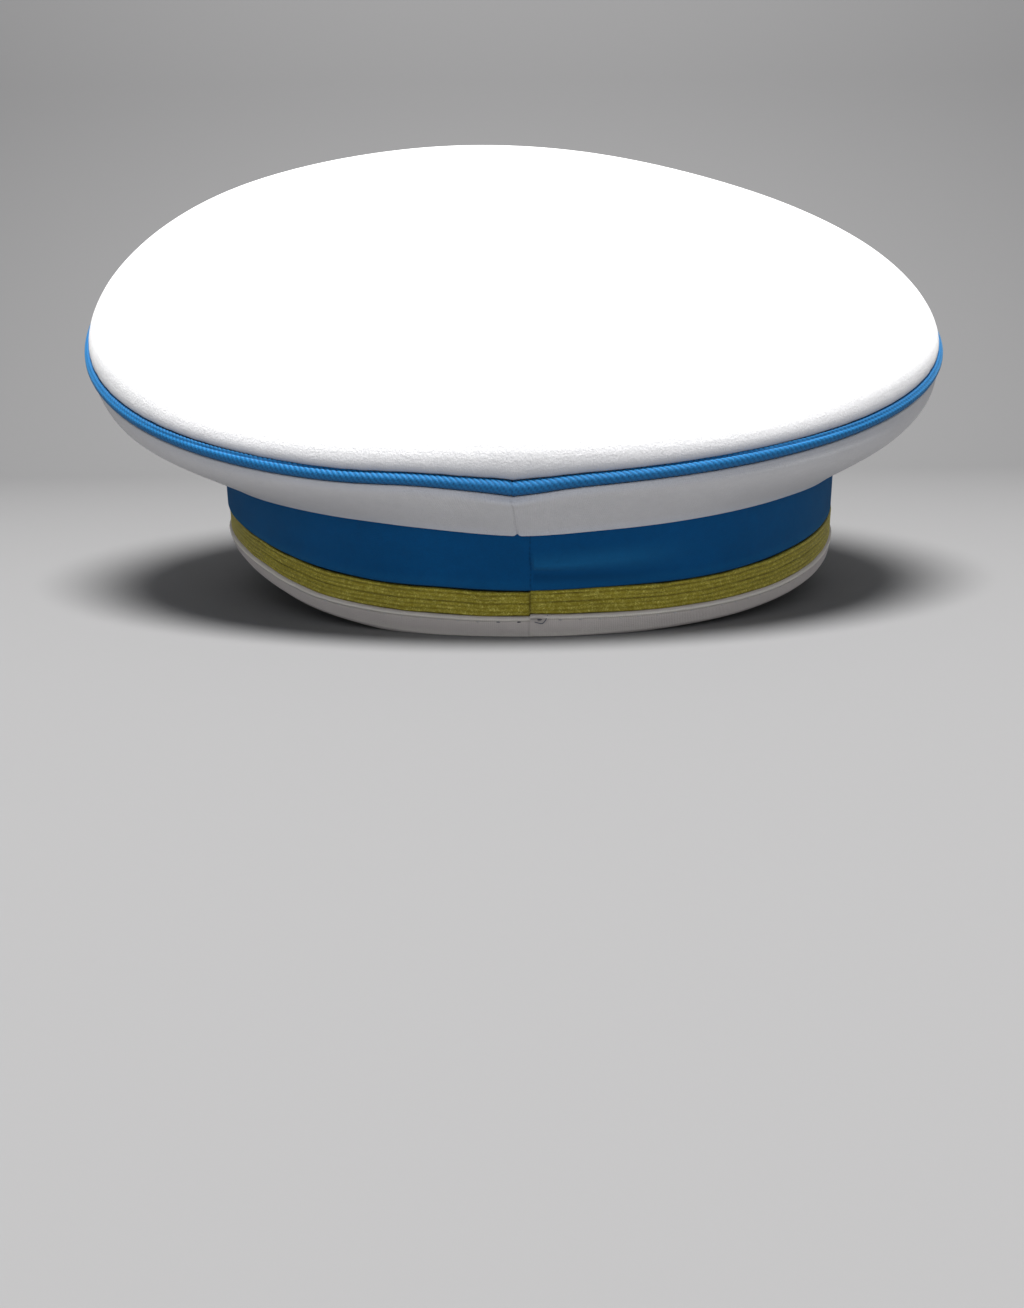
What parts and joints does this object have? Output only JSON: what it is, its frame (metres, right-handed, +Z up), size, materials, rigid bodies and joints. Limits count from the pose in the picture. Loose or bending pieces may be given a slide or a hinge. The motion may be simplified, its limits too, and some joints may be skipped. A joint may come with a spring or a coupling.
{
  "type": "peaked cap",
  "caption": "Peaked cap: white oval crown with light blue piping, flared side panel, blue cloth band with gold braid, white folded rim and black peak; hollow inside for a head.",
  "frame": {"origin": "middle of the cap's bounding box, on the surface that it rests on", "axes": "+Z up, -Y towards the peak, +Y towards the rear seam, +X to the wearer's left"},
  "size_m": [0.2376, 0.2668, 0.141],
  "materials": {
    "white_cloth": "smooth matt woven cloth",
    "light_blue_twill": "bias-cut twill over a cord, slight sheen",
    "blue_cloth": "fine matt woollen cloth",
    "gold_thread": "metallic thread woven in lengthwise ribs",
    "white_binding": "smooth folded cloth strip",
    "black_patent": "glossy patent"
  },
  "bodies": {
    "root": {"crown_top": "white_cloth", "crown_side": "white_cloth", "crown_piping": "light_blue_twill", "band": "blue_cloth", "gold_braid": "gold_thread", "rim_binding": "white_binding", "peak": "black_patent"}
  },
  "joints": []
}
